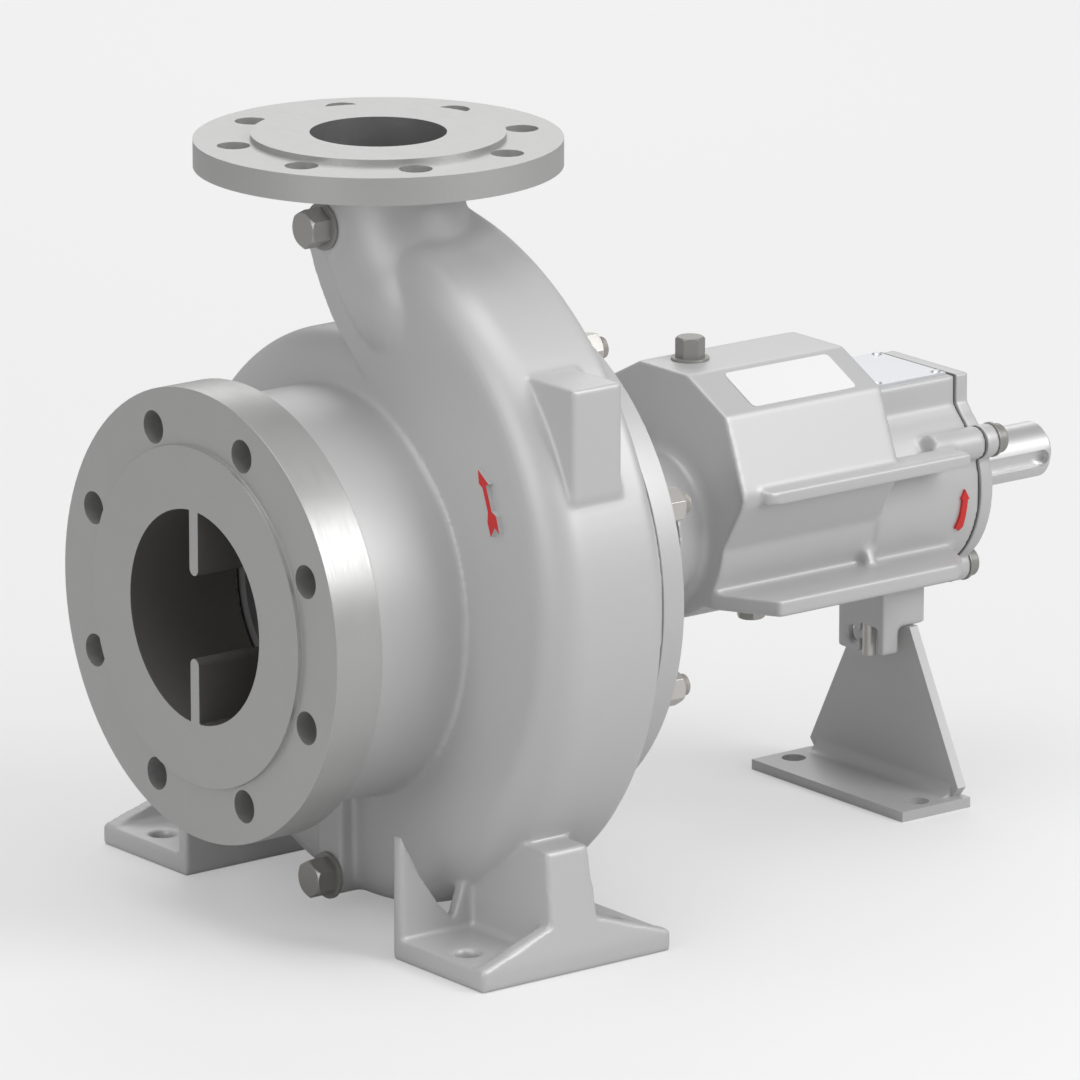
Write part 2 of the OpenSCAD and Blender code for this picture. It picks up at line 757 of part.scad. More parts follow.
module impeller() color("darkgray") difference() {
  union() {
    on_shaft() rotate_extrude() {
      // Eye ring and front shroud with the bend between them
      translate([eye_r, eye_x + 1]) square([eye_hub_r - eye_r, outlet_x0 - eye_x - 1]);
      translate([eye_r, outlet_x0 - shroud_t]) square([impeller_r - eye_r, shroud_t]);
      // Back shroud, hub and balance ring
      translate([0, outlet_x1]) square([impeller_r, shroud_t]);
      translate([0, nut_seat_x]) square([hub_r, outlet_x1 + shroud_t - nut_seat_x]);
      translate([0, outlet_x1]) square([hub_back_r, sleeve_x - outlet_x1]);
      translate([eye_r + 1, outlet_x1]) square([eye_hub_r - eye_r - 1, shroud_t + 10]);
      difference() {
        translate([hub_r - 1, outlet_x1 - hub_fillet]) square([hub_fillet + 1, hub_fillet + 1]);
        translate([hub_r + hub_fillet, outlet_x1 - hub_fillet]) circle(r = hub_fillet);
      }
    }
    on_shaft(outlet_x0 - 2) for (i = [0:vanes - 1]) rotate([0, 0, i * 360 / vanes])
      linear_extrude(outlet_w + 4) vane();
  }
  bore(nut_seat_x - 1, sleeve_x + 1, hub_bore / 2 + fit);
  around(vanes, balance_r, outlet_x1 - hub_fillet) cylinder(d = balance_d, h = hub_fillet + shroud_t + 1);
  translate([key_x0 - 1, -key_w / 2 - fit, shaft_h]) cube([sleeve_x, key_w + 2 * fit, key_top + fit]);
}

module impeller_key() color("gray") translate([key_x0, -key_w / 2, shaft_h + key_floor])
  cube([key_len, key_w, key_top - key_floor]);

module impeller_nut() color("gainsboro") difference() {
  union() {
    translate([nut_seat_x - impeller_nut_h, 0, shaft_h]) rotate([0, 90, 0])
      cylinder(d = impeller_nut_af / cos(30), h = impeller_nut_h, $fn = 6);
    on_shaft(nut_seat_x - impeller_nut_h - dome_h) cylinder(r1 = dome_h, r2 = impeller_nut_af / 2, h = dome_h + 0.01);
  }
  bore(nut_seat_x - thread_len - 0.5, nut_seat_x + 1, thread_r + fit);
}

// Shaft with its steps, the key slot of the impeller and the keyway of the coupling
shaft_steps = [
  [nut_seat_x - thread_len, nut_seat_x + 1, thread_r], [nut_seat_x, sleeve_x + 1, hub_bore / 2],
  [sleeve_x, sleeve_x + sleeve_len, sleeve_bore / 2], [sleeve_x + sleeve_len, front_bearing_x, seal_shaft_r],
  [front_bearing_x - 1, front_bearing_x + bearing_w, bearing_bore / 2],
  [front_bearing_x + bearing_w, rear_bearing_x, shoulder_r],
  [rear_bearing_x - 1, rear_bearing_x + bearing_w, bearing_bore / 2],
  [rear_bearing_x + bearing_w - 1, seam_x - 1, lock_thread_r], [seam_x - 2, cover_back_x, rear_seal_shaft_r],
  [cover_back_x - 1, shaft_reach - drive_chamfer, drive_d / 2]];

module pump_shaft() color("lightgray") difference() {
  union() {
    for (s = shaft_steps) on_shaft(s[0]) cylinder(r = s[2], h = s[1] - s[0]);
    on_shaft(shaft_reach - drive_chamfer)
      cylinder(r1 = drive_d / 2, r2 = drive_d / 2 - drive_chamfer, h = drive_chamfer);
  }
  translate([key_x0 - fit, -key_w / 2 - fit, shaft_h + key_floor]) cube([key_len + 2 * fit, key_w + 2 * fit, key_w]);
  translate([keyway_x0, 0, shaft_h]) rotate([90 + keyway_turn, 0, 0])
    translate([0, 0, drive_d / 2 - keyway_depth]) linear_extrude(drive_d) {
      translate([0, -keyway_w / 2]) square([keyway_x1 - keyway_x0 - keyway_w / 2, keyway_w]);
      translate([keyway_x1 - keyway_x0 - keyway_w / 2, 0]) circle(d = keyway_w);
      circle(d = keyway_w);
    }
}

module shaft_sleeve() color("lightgray") ring(sleeve_x, sleeve_x + sleeve_len, sleeve_r, sleeve_bore / 2 + fit);

// Mechanical seal with a metal bellows

module seal_collar() color("gray") ring(collar_x, bellows_x, collar_r, sleeve_r + fit);

// Radii of the bellows sheet, from crest to root
crest_r = collar_r - 1;
root_r = sleeve_r + 2;
wave_t = 0.8;
module seal_bellows() color("darkgray") on_shaft(bellows_x) rotate_extrude() {
  pitch = (seal_ring_x - bellows_x) / bellows_waves;
  for (i = [0:bellows_waves - 1]) translate([0, i * pitch])
    polygon([[root_r - wave_t, 0], [root_r, 0], [crest_r, pitch / 2 - 0.4], [crest_r + 0.6, pitch / 2],
      [crest_r, pitch / 2 + 0.4], [root_r, pitch], [root_r - wave_t, pitch], [crest_r - 1.2, pitch / 2]]);
}

module seal_ring() color("dimgray") ring(seal_ring_x, seal_face_x, collar_r + 1, sleeve_r + fit);

module seal_seat() color("black") ring(seal_face_x, cover_x1 + seat_depth, seat_r, sleeve_r + 3);

module seal_gland() color("silver") difference() {
  ring(cover_x1, cover_x1 + gland_t, gland_r, sleeve_r + 2);
  bore(cover_x1 - 1, cover_x1 + seat_depth, seat_r + fit);
  around(gland_studs_n, gland_pcd / 2, cover_x1 - 1) cylinder(d = gland_stud_d + 1, h = gland_t + 2);
}

module gland_studs() color("gainsboro")
  around(gland_studs_n, gland_pcd / 2, cover_x1 - gland_stud_depth) stud(gland_stud_d, gland_stud_len);

module gland_nuts() color("gainsboro")
  around(gland_studs_n, gland_pcd / 2, cover_x1 + gland_t) nut(gland_nut_af, gland_nut_h, gland_stud_d);

// Bearing bracket

// Both sides of the shaft in an outline
module both_sides() {
  children();
  mirror([1, 0]) children();
}

// Half outline of the housing, side and height above the shaft, down to the base plate
shoulder_drop = 17;
side_round_r = 12;
side_round_y = housing_half_w - 12.45;
side_round_z = 27.65;
plate_top_z = shaft_h - 31;
module housing_half() translate([0, shaft_h]) {
  polygon([[0, housing_top], [top_half_w, housing_top], [55, housing_top - shoulder_drop], [70.7, 32],
    [69.8, 21.4], [41, -26], [44, -31.5], [0, -31.5]]);
  translate([side_round_y, side_round_z]) circle(r = side_round_r);
}

// Half outline of the rear section behind the main housing
module rear_half(r) translate([0, shaft_h]) {
  circle(r = r);
  polygon([[0, rear_top], [rear_top_half_w, rear_top], [rear_top_half_w, rear_top - 16.5], [42, 36], [0, 36]]);
}

// Ears of the end cover screws, side and height above the shaft
ears = [[52, 28], [28, -49], [-28, -49], [-52, 28]];
module at_ears(x) for (e = ears) translate([x, e[0], shaft_h + e[1]]) rotate([0, 90, 0]) children();

module end_outline(x0, x1) {
  along_x(x0, x1) both_sides() rear_half(rear_r);
  at_ears(x0) cylinder(r = ear_r, h = x1 - x0);
}

// Bell between the casing cover and the housing: a cone that runs out into the round neck
module bell(inset, x0, x1) on_shaft() rotate_extrude() {
  bend = bell_bend_r + inset;
  centre_r = lantern_neck_r + bell_bend_r;
  end_r = centre_r - bend * cos(bell_angle);
  end_x = bell_bend_x - bend * sin(bell_angle);
  polygon([[0, x0], [end_r + (end_x - x0) * tan(bell_angle), x0], [end_r, end_x], [0, end_x]]);
  difference() {
    translate([0, end_x]) square([end_r, x1 - end_x]);
    translate([centre_r, bell_bend_x]) circle(r = bend);
  }
}

// Opening in the side of the bell, with rounded corners
module lantern_window() translate([0, 0, shaft_h]) rotate([90, 0, 0]) linear_extrude(400, center = true)
  rounded_rect(window_x0, window_x1, -window_half_h, window_half_h, window_round);

module rounded_rect(x0, x1, y0, y1, r) {
  translate([x0 + r, y0]) square([x1 - x0 - 2 * r, y1 - y0]);
  translate([x0, y0 + r]) square([x1 - x0, y1 - y0 - 2 * r]);
  for (x = [x0 + r, x1 - r]) for (y = [y0 + r, y1 - r]) translate([x, y]) circle(r = r);
}

module housing_plate() translate([0, 0, plate_top_z - plate_t]) linear_extrude(plate_t) {
  half = [[housing_x, 0], [housing_x, 44], [housing_x + 20, plate_half_w], [rear_hole_x + 8, plate_half_w],
    [rear_hole_x + 19, plate_half_w - 10], [seam_x - 10, 40], [seam_x - 10, 0]];
  polygon(half);
  mirror([0, 1]) polygon(half);
}

// Grip rail along the widest part of the housing
module rail() translate([0, 0, rail_z]) linear_extrude(rail_h) {
  translate([rail_x0, -rail_out + rail_round]) square([rail_x1 - rail_x0, rail_out - rail_round - rail_in]);
  translate([rail_x0 + rail_round, -rail_out]) square([rail_x1 - rail_x0 - rail_round, rail_round + 1]);
  translate([rail_x0 + rail_round, -rail_out + rail_round]) circle(r = rail_round);
}

// Stiffening rib between housing and base plate
module gusset() along_x(gusset_x, gusset_x + 7)
  polygon([[-36, plate_top_z - 1], [-56, plate_top_z - 1], [-50, plate_top_z + 12], [-45, plate_top_z + 28],
    [-36, plate_top_z + 28]]);

// Block and lugs that carry the support foot
lug_plate_t = 6;
lug_plate_z = 80;
lug_hole_y = 7.5;
lug_hole_z = 90;
module support_boss() {
  translate([boss_x0, -boss_half_w, boss_z])
    cube([boss_x1 - boss_x0, 2 * boss_half_w, plate_top_z - plate_t - boss_z + 1]);
  translate([boss_x0, 2, lug_plate_z]) cube([lug_plate_t, boss_half_w - 2, boss_z - lug_plate_z + 1]);
  translate([boss_x0, -boss_half_w, lug_plate_z + 2]) cube([2 * lug_plate_t, 5, boss_z - lug_plate_z]);
}

// Oil space between the bearings, side and height
module chamber_half() translate([0, shaft_h]) {
  polygon([[0, housing_top - 8], [top_half_w - 4, housing_top - 8], [48, housing_top - shoulder_drop - 8],
    [60, 31], [60, 22], [33, -24], [0, -24]]);
}

module bearing_bracket() color("silver") difference() {
  union() {
    ring(cover_x1, cover_x1 + lantern_t, lantern_flange_r, 0);
    bell(0, cover_x1 + 1, bell_bend_x);
    ring(bell_bend_x - 1, housing_x + 1, lantern_neck_r, 0);
    on_shaft(housing_x - neck_fillet) rotate_extrude() difference() {
      square([lantern_neck_r + neck_fillet, neck_fillet + 1]);
      translate([lantern_neck_r + neck_fillet, 0]) circle(r = neck_fillet);
    }
    along_x(housing_x, section_x) both_sides() housing_half();
    ring(housing_x, section_x, belly_r, 0);
    along_x(section_x - 1, seam_x) both_sides() rear_half(rear_r);
    at_ears(ear_x) cylinder(r = ear_r, h = seam_x - ear_x);
    housing_plate();
    rail();
    mirror([0, 1, 0]) rail();
    gusset();
    mirror([0, 1, 0]) gusset();
    support_boss();
    translate([oil_drain_x, 0, oil_drain_z]) cylinder(d = oil_drain_pad, h = 12);
  }
  // Lantern space, seal seat, bearing seats and oil space
  intersection() {
    bell(bell_wall, cover_x1 - 1, oil_seal_x - 4);
    ring(cover_x1 - 1, oil_seal_x - 4, lantern_bore_r, 0);
  }
  lantern_window();
  bore(oil_seal_x - 5, front_bearing_x - 5, oil_seal_r + fit);
  bore(front_bearing_x - 6, front_bearing_x + 1, housing_shoulder_r);
  bore(front_bearing_x, seam_x + 1, bearing_od / 2 + fit);
  bore(rear_bearing_x - clip_t - fit, rear_bearing_x, clip_groove_r);
  along_x(chamber_x0, section_x - 8) both_sides() chamber_half();
  translate([filler_x - 9, -14, shaft_h + bearing_od / 2 + 10])
    cube([chamber_x0 - filler_x + 12, 36, housing_top - bearing_od / 2 - 18]);
  translate([filler_x, filler_y, shaft_h + housing_top - 12]) cylinder(d = filler_d + 2 * fit, h = 20);
  translate([oil_drain_x, 0, oil_drain_z - 1]) cylinder(d = oil_drain_d + 2 * fit, h = 20);
  at_ears(seam_x - ear_screw_depth) cylinder(d = ear_screw_d + 2 * fit, h = 40);
  around(lantern_screws_n, lantern_pcd / 2, cover_x1 - 1) cylinder(d = screw_d + 1, h = lantern_t + 2);
  // Slot, bolt hole and pin hole for the support foot
  translate([upright_x - fit, -tongue_half_w - 1, boss_z - 1]) cube([sheet_t + 2 * fit, 2 * tongue_half_w + 2, tongue_h + 2]);
  translate([boss_x1 + 1, 0, support_bolt_z]) rotate([0, -90, 0]) cylinder(d = screw_d + 2 * fit, h = 28);
  translate([boss_x0 - 1, lug_hole_y, lug_hole_z]) rotate([0, 90, 0]) cylinder(d = 10, h = lug_plate_t + 2);
  translate([pin_x, pin_y, boss_z - 1]) cylinder(d = pin_d + 2 * fit, h = pin_in + 1);
}

// A hexagon screw with its shank below the head
module hex_screw(af, head_h, d, len) {
  hex_head(af, head_h);
  translate([0, 0, -len]) cylinder(d = d, h = len + 1);
}

module lantern_screws() color("gainsboro") around(lantern_screws_n, lantern_pcd / 2, cover_x1 + lantern_t)
  hex_screw(lantern_af, 6.4, screw_d, lantern_t + screw_depth - 2);

module deflector_ring() color("dimgray") on_shaft(deflector_x) rotate_extrude() {
  translate([seal_shaft_r + fit, 0]) square([6, deflector_w]);
  translate([seal_shaft_r + 5, deflector_w - 3]) square([deflector_r - seal_shaft_r - 5, 3]);
}

module front_oil_seal() color("black") ring(oil_seal_x, oil_seal_x + oil_seal_w, oil_seal_r, seal_shaft_r + lip_gap);

// Deep-groove ball bearings
pitch_r = (bearing_bore + bearing_od) / 4;
groove_r = ball_d / 2 + ball_fit;
module race(ri, ro) on_shaft() rotate_extrude() difference() {
  translate([ri, 0]) square([ro - ri, bearing_w]);
  translate([pitch_r, bearing_w / 2]) circle(r = groove_r);
}

module outer_ring(x) translate([x, 0, 0]) race(bearing_od / 2 - race_t, bearing_od / 2);
module inner_ring(x) translate([x, 0, 0]) race(bearing_bore / 2 + fit, bearing_bore / 2 + race_t);
module ball_set(x) around(balls, pitch_r, x + bearing_w / 2) sphere(d = ball_d);
module cage(x) difference() {
  ring(x + 2, x + bearing_w - 2, pitch_r + 2, pitch_r - 2);
  around(balls, pitch_r - 6, x + bearing_w / 2) rotate([0, 90, 0]) cylinder(d = ball_d + 2 * fit, h = 12);
}

module front_bearing_outer() color("lightgray") outer_ring(front_bearing_x);
module front_bearing_inner() color("lightgray") inner_ring(front_bearing_x);
module front_bearing_balls() color("white") ball_set(front_bearing_x);
module front_bearing_cage() color("goldenrod") cage(front_bearing_x);
module rear_bearing_outer() color("lightgray") outer_ring(rear_bearing_x);
module rear_bearing_inner() color("lightgray") inner_ring(rear_bearing_x);
module rear_bearing_balls() color("white") ball_set(rear_bearing_x);
module rear_bearing_cage() color("goldenrod") cage(rear_bearing_x);

module retaining_ring() color("dimgray") on_shaft(rear_bearing_x - clip_t) rotate([0, 0, 15])
  rotate_extrude(angle = 330) translate([bearing_od / 2 - 3, 0]) square([clip_groove_r - bearing_od / 2 + 3 - fit, clip_t]);

lock_x = rear_bearing_x + bearing_w;
module bearing_lock_washer() color("gray") ring(lock_x, lock_x + lock_washer_t, lock_nut_r, lock_thread_r + fit);
module bearing_lock_nut() color("gray") difference() {
  ring(lock_x + lock_washer_t, seam_x - 1, lock_nut_r - 1, lock_thread_r + fit);
  around(4, lock_nut_r - 5, lock_x + lock_washer_t - 1) translate([0, -3, 0]) cube([6, 6, 20]);
}

module end_cover_gasket() color("dimgray") difference() {
  end_outline(seam_x, seam_x + 1);
  bore(seam_x - 1, seam_x + 2, bearing_od / 2 + fit);
  at_ears(seam_x - 1) cylinder(d = ear_screw_d + 1, h = 3);
}

module end_cover() color("silver") difference() {
  union() {
    end_outline(seam_x + 1, cover_back_x);
    ring(lock_x + 0.5, seam_x + 2, bearing_od / 2 - fit, 0);
  }
  bore(lock_x, seam_x, end_spigot_r);
  bore(seam_x - 1, cover_back_x + 1, rear_seal_r + fit);
  at_ears(seam_x) cylinder(d = ear_screw_d + 1, h = end_cover_t + 2);
}

module rear_oil_seal() color("black") ring(seam_x + 1, cover_back_x - 1, rear_seal_r, rear_seal_shaft_r + lip_gap);

module end_cover_screws() color("gainsboro") at_ears(cover_back_x + ear_washer_t) difference() {
  union() {
    cylinder(d = ear_head_d, h = ear_head_h - 1);
    translate([0, 0, ear_head_h - 1]) cylinder(d1 = ear_head_d, d2 = ear_head_d - 2, h = 1);
    translate([0, 0, -end_cover_t - ear_washer_t - ear_screw_depth + 2])
      cylinder(d = ear_screw_d, h = end_cover_t + ear_washer_t + ear_screw_depth);
  }
  translate([0, 0, ear_head_h - 3]) cylinder(d = 6 / cos(30), h = 5, $fn = 6);
}

module end_cover_washers() color("gray") at_ears(cover_back_x) washer(ear_washer_d, ear_screw_d + 0.5, ear_washer_t);

module oil_filler_washer() color("gray") translate([filler_x, filler_y, shaft_h + housing_top])
  washer(filler_washer_d, filler_d, filler_washer_t);

module oil_filler_plug() color("gray") translate([filler_x, filler_y, shaft_h + housing_top]) rotate([0, 0, 26])
  screw_plug(filler_af, filler_head_h, filler_d, 10, filler_washer_t);

module oil_drain_plug() color("gray") translate([oil_drain_x, 0, oil_drain_z]) rotate([180, 0, 0])
  screw_plug(filler_af, 7, oil_drain_d, 10, 0);

// Direction arrow on the round rear section, position along the shaft and height
module housing_arrow() color("red") intersection() {
  translate([0, -rear_r - 10, 0]) rotate([-90, 0, 0]) linear_extrude(40) mirror([0, 1])
    polygon([[368.3, 183.5], [365.3, 178], [366.6, 178.2], [365.8, 168], [363.9, 160.5], [365.6, 160.9],
      [367.2, 158.8], [369.4, 161], [370.3, 178], [371.6, 177.2]]);
  ring(350, 378, rear_r + 1.5, rear_r);
}

// Child drawn on the sloping side of the housing, its own Y up the slope, Z outwards
module on_slope() translate([0, -top_half_w, shaft_h + housing_top])
  rotate([atan2(shoulder_drop, 55 - top_half_w), 0, 0]) children();

module label_plate() color("white") on_slope() linear_extrude(label_t)
  rounded_rect(label_x, label_x + label_len, -label_w - 4, -4, 3);

module nameplate() color("lightgray") difference() {
  translate([nameplate_x, -nameplate_half_w, shaft_h + rear_top]) cube([nameplate_len, 2 * nameplate_half_w, nameplate_t]);
  at_rivets(-1) cylinder(d = rivet_d + 2 * fit, h = 5);
}

module at_rivets(z) for (x = [nameplate_x + 4, nameplate_x + nameplate_len - 4]) for (side = [-1, 1])
  translate([x, side * (nameplate_half_w - 4), shaft_h + rear_top + z]) children();

module nameplate_rivets() color("gray") at_rivets(0) {
  cylinder(d = rivet_d, h = nameplate_t + 0.5);
  translate([0, 0, nameplate_t]) cylinder(d1 = rivet_d + 2, d2 = rivet_d, h = 1);
}

// Support foot under the bearing housing: base, upright with a tongue, and the bend between them
module support_foot() color("silver") difference() {
  union() {
    translate([support_x0, -support_half_w, 0]) cube([upright_x + sheet_t + 2 - support_x0, 2 * support_half_w, sheet_t]);
    along_x(upright_x, upright_x + sheet_t)
      polygon([[-60, sheet_t - 1], [60, sheet_t - 1], [66, sheet_t + 6], [upright_top_half_w, boss_z],
        [tongue_half_w, boss_z], [tongue_half_w, boss_z + tongue_h], [-tongue_half_w, boss_z + tongue_h],
        [-tongue_half_w, boss_z], [-upright_top_half_w, boss_z], [-66, sheet_t + 6]]);
    translate([upright_x - support_bend, 60, sheet_t]) rotate([90, 0, 0]) linear_extrude(120) difference() {
      translate([0, -1]) square([support_bend + 1, support_bend + 1]);
      translate([0, support_bend]) circle(r = support_bend);
    }
  }
  for (side = [-1, 1]) translate([rear_hole_x, side * rear_hole_dy / 2, -1]) cylinder(d = foot_hole_d, h = sheet_t + 2);
  translate([upright_x - 1, 0, support_bolt_z]) rotate([0, 90, 0]) cylinder(d = screw_d + 1, h = sheet_t + 2);
}

module at_support_bolt() translate([boss_x1, 0, support_bolt_z]) rotate([0, 90, 0]) children();
module support_washer() color("gainsboro") at_support_bolt() washer(20, screw_d + 0.5, 2);
module support_bolt() color("gainsboro") at_support_bolt() translate([0, 0, 2]) hex_screw(lantern_af, 6.4, screw_d, 28);
module support_pin() color("gainsboro") translate([pin_x, pin_y, pin_z]) cylinder(d = pin_d, h = boss_z + pin_in - 1 - pin_z);

volute_casing();
front_wear_ring();
rear_wear_ring();
casing_gasket();
casing_cover();
casing_studs();
casing_nuts();
priming_plug();
priming_plug_washer();
drain_plug();
drain_plug_washer();
casing_arrow();
impeller();
impeller_nut();
impeller_key();
pump_shaft();
shaft_sleeve();
seal_seat();
seal_ring();
seal_bellows();
seal_collar();
seal_gland();
gland_studs();
gland_nuts();
bearing_bracket();
lantern_screws();
deflector_ring();
front_oil_seal();
front_bearing_outer();
front_bearing_inner();
front_bearing_balls();
front_bearing_cage();
rear_bearing_outer();
rear_bearing_inner();
rear_bearing_balls();
rear_bearing_cage();
retaining_ring();
bearing_lock_washer();
bearing_lock_nut();
end_cover();
end_cover_gasket();
end_cover_screws();
end_cover_washers();
rear_oil_seal();
oil_filler_plug();
oil_filler_washer();
oil_drain_plug();
housing_arrow();
label_plate();
nameplate();
nameplate_rivets();
support_foot();
support_bolt();
support_washer();
support_pin();
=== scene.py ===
"""Thermic fluid pump, dressed for the camera.

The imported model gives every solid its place. This script gives each of them its finish, swaps the
castings for copies with moulded edges, cuts the threads of the studs, and sets the studio up.
All lengths are in metres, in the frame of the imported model: +X along the shaft from the suction
flange to the drive end, +Z up along the discharge, the lug side is -Y.
"""

import json
import logging
import math
from dataclasses import dataclass
from enum import Enum
from typing import Callable, Iterable, Sequence

import bmesh
import bpy
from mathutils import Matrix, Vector


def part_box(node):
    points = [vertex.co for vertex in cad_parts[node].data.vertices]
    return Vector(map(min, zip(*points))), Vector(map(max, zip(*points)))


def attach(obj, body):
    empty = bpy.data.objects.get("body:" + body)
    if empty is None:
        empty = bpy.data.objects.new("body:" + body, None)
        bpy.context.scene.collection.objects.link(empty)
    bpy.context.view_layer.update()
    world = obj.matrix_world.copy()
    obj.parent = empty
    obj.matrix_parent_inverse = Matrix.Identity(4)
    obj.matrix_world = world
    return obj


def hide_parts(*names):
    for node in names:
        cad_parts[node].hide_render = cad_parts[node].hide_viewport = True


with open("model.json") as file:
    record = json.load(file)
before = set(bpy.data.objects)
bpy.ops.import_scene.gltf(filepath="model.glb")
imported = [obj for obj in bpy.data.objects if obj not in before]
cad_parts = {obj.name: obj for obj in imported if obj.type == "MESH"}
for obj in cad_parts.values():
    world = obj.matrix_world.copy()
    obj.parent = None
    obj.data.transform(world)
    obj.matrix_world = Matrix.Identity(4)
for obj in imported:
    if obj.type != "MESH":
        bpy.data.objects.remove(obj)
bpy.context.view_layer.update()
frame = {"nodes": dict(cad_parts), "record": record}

LOG = logging.getLogger("pump")
PUMP_BODY = "pump_body"
SHAFT_HEIGHT = 0.180

# Angles between faces
FLAT_ANGLE = math.radians(0.2)
THREAD_ANGLE = math.radians(30)
EDGE_ANGLE = math.radians(32)
SMOOTH_ANGLE = math.radians(38)
CAST_ANGLE = math.radians(45)

# Gaps that count as none between two points
CAD_GAP = 2e-6
CUT_GAP = 1e-7

# Widths of the small rounds on edges
FLANGE_ROUND = 0.0006
COVER_ROUND = 0.0008
SHEET_ROUND = 0.0012
PLUG_ROUND = 0.0005
SMALL_ROUND = 0.0004
LABEL_ROUND = 0.0002

# Fine structure of the finishes
NOISE_LOW = 0.3
NOISE_HIGH = 0.7
CAST_SCALE = 420.0
CAST_DETAIL = 5.0
BRUSHED_SCALE = 900.0
BRUSHED_DETAIL = 2.0
BRUSHED_STRETCH = (1.0, 0.06, 0.06)

# Share of the area of a face in the shade of its corners
AREA_WEIGHT = 90

Colour = tuple[float, float, float]
Place = tuple[float, float, float]
Zone = Callable[[Vector], bool]
Coat = Callable[[Vector, Vector], int]


class Grain(Enum):
    """How the surface of a finish is broken up."""

    NONE = "none"
    CAST = "cast"
    BRUSHED = "brushed"


@dataclass(frozen=True)
class Finish:
    """A surface finish: colour, gloss and the fine structure on it.

    Attributes:
        slot: Material slot of the record that the finish stands for.
        name: Name of the material.
        colour: Base colour, linear.
        metallic: Share of bare metal in the reflection.
        roughness: Roughness of the surface.
        grain: Kind of fine structure.
        depth: Height of the structure in metres.
        spread: Change of the roughness over the structure.
        coat: Weight of a clear layer.
    """

    slot: str
    name: str
    colour: Colour
    metallic: float
    roughness: float
    grain: Grain = Grain.NONE
    depth: float = 0.0
    spread: float = 0.0
    coat: float = 0.0

    def material(self) -> bpy.types.Material:
        """Builds the material once and returns it.

        Returns:
            The material of this finish.
        """
        made = bpy.data.materials.get(self.name)
        if made is not None:
            return made
        made = bpy.data.materials.new(self.name)
        made.use_nodes = True
        made.diffuse_color = (*self.colour, 1.0)
        shader = made.node_tree.nodes["Principled BSDF"]
        shader.inputs["Base Color"].default_value = (*self.colour, 1.0)
        shader.inputs["Metallic"].default_value = self.metallic
        shader.inputs["Roughness"].default_value = self.roughness
        shader.inputs["Coat Weight"].default_value = self.coat
        if self.grain is not Grain.NONE:
            self._break_up(made.node_tree, shader)
        return made

    def _break_up(self, tree: bpy.types.NodeTree, shader: bpy.types.Node) -> None:
        """Adds the fine structure to roughness and relief.

        Args:
            tree: Node tree of the material.
            shader: Its surface shader.
        """
        place = tree.nodes.new("ShaderNodeTexCoord")
        turn = tree.nodes.new("ShaderNodeMapping")
        noise = tree.nodes.new("ShaderNodeTexNoise")
        tree.links.new(place.outputs["Object"], turn.inputs["Vector"])
        tree.links.new(turn.outputs["Vector"], noise.inputs["Vector"])
        if self.grain is Grain.CAST:
            noise.inputs["Scale"].default_value = CAST_SCALE
            noise.inputs["Detail"].default_value = CAST_DETAIL
        else:
            turn.inputs["Scale"].default_value = BRUSHED_STRETCH
            noise.inputs["Scale"].default_value = BRUSHED_SCALE
            noise.inputs["Detail"].default_value = BRUSHED_DETAIL
        gloss = tree.nodes.new("ShaderNodeMapRange")
        gloss.inputs["From Min"].default_value = NOISE_LOW
        gloss.inputs["From Max"].default_value = NOISE_HIGH
        gloss.inputs["To Min"].default_value = self.roughness - self.spread
        gloss.inputs["To Max"].default_value = self.roughness + self.spread
        tree.links.new(noise.outputs["Fac"], gloss.inputs["Value"])
        tree.links.new(gloss.outputs["Result"], shader.inputs["Roughness"])
        relief = tree.nodes.new("ShaderNodeBump")
        relief.inputs["Strength"].default_value = 1.0
        relief.inputs["Distance"].default_value = self.depth
        tree.links.new(noise.outputs["Fac"], relief.inputs["Height"])
        tree.links.new(relief.outputs["Normal"], shader.inputs["Normal"])


CAST_SILVER = Finish("cast_silver", "cast_silver", (0.45, 0.45, 0.45), 0.60, 0.38, Grain.CAST, 0.00002, 0.05)
MACHINED_SILVER = Finish(
    "cast_silver", "machined_silver", (0.51, 0.51, 0.505), 0.55, 0.38, Grain.BRUSHED, 0.00001, 0.05)
# Painted shade: a darker copy of the cast silver on the walls of the suction bore and the impeller's space,
# standing in for the shade inside them.
BORE_PAINTED_SHADE = Finish("cast_silver", "bore_painted_shade", (0.17, 0.165, 0.155), 0.3, 0.45, Grain.CAST, 0.00006, 0.06)
# Painted shade: a darker copy of the cast silver inside the top of the discharge bore, standing in for the
# shade in it.
OUTLET_PAINTED_SHADE = Finish("cast_silver", "outlet_painted_shade", (0.20, 0.20, 0.20), 0.3, 0.45, Grain.CAST, 0.00008, 0.08)
SHEET_SILVER = Finish("sheet_silver", "sheet_silver", (0.39, 0.39, 0.39), 0.60, 0.40)
BOLT_STEEL = Finish("bolt_steel", "bolt_steel", (0.78, 0.76, 0.72), 0.4, 0.36)
PLUG_STEEL = Finish("plug_steel", "plug_steel", (0.29, 0.285, 0.27), 0.55, 0.42)
WASHER_STEEL = Finish("plug_steel", "washer_steel", (0.36, 0.355, 0.34), 0.5, 0.42)
ARROW_RED = Finish("arrow_red", "arrow_red", (0.66, 0.025, 0.025), 0.0, 0.42)
IMPELLER_IRON = Finish("impeller_iron", "impeller_iron", (0.42, 0.41, 0.40), 0.4, 0.42)
SHAFT_STEEL = Finish(
    "shaft_steel", "shaft_steel", (0.90, 0.90, 0.90), 0.2, 0.30, Grain.BRUSHED, 0.000004, 0.04)
SEAL_METAL = Finish("seal_metal", "seal_metal", (0.55, 0.54, 0.50), 0.9, 0.3)
SEAL_CARBON = Finish("seal_carbon", "seal_carbon", (0.03, 0.03, 0.032), 0.0, 0.35)
